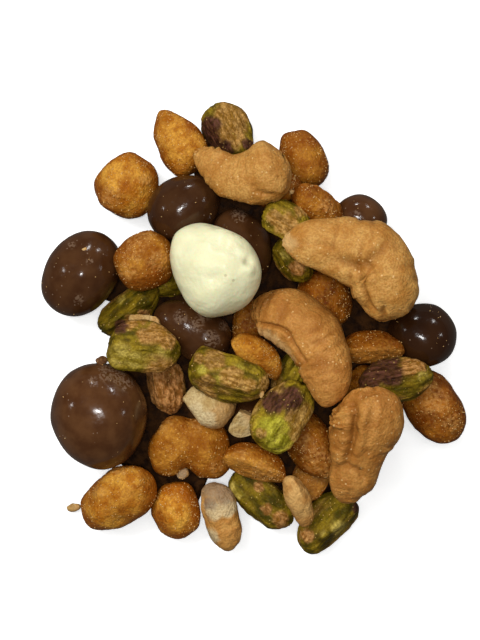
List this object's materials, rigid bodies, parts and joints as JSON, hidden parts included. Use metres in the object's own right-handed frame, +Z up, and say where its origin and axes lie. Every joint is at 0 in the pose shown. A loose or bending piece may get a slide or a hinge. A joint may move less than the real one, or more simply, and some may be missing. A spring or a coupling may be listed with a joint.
{
  "type": "heap of trail mix",
  "caption": "Loose heap of trail mix: chocolate balls, a yogurt-coated nut, cashews, honey-roasted peanuts and pistachio kernels, lying as tipped out.",
  "frame": {"origin": "under the middle of the heap, on the surface it lies on", "axes": "+Z up; +Y along the heap's longer side, which is up in the picture; +X to the right there"},
  "size_m": [0.0817, 0.0866, 0.0228],
  "materials": {
    "mixed_nuts": "matte, brown, in the shade between the pieces",
    "chocolate": "dark chocolate glaze, half gloss, with scuffs and nut dust",
    "yogurt_coating": "cream-white coating, soft gloss, shallow dents",
    "cashew": "roasted, tan, faintly oily, fine wrinkles",
    "honey_peanut": "honey-roasted, golden orange, sugar-grained",
    "pistachio": "yellow-green kernel with patches of purple-brown skin, ridged",
    "pale_nut": "cream-coloured broken nut, matte",
    "sugar": "sugar and salt grains and nut crumbs"
  },
  "bodies": {
    "root": {"trail_mix_heap": "mixed_nuts"}
  },
  "joints": []
}
